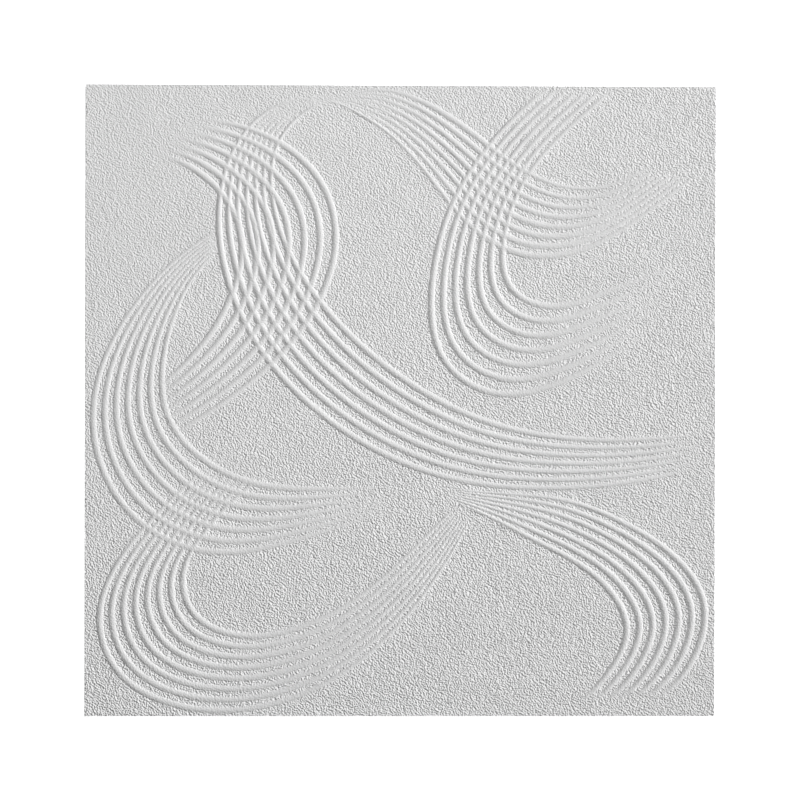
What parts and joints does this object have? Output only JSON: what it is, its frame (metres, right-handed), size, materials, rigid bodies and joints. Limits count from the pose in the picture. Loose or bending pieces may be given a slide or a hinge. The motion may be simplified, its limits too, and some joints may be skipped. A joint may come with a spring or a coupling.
{
  "type": "ceiling tile",
  "caption": "Square foamed polystyrene ceiling tile with a stippled face and raised combed swirls, glued up by its flat back to cover a ceiling edge to edge.",
  "frame": {"origin": "middle of the flat back, the face that is glued to the ceiling", "axes": "+Z out of the decorated face, +Y towards the top of the picture, +X towards the right of the picture"},
  "size_m": [0.5, 0.5, 0.01],
  "materials": {
    "foam": "matt white foamed polystyrene"
  },
  "bodies": {
    "root": {"ceiling_tile": "foam"}
  },
  "joints": []
}
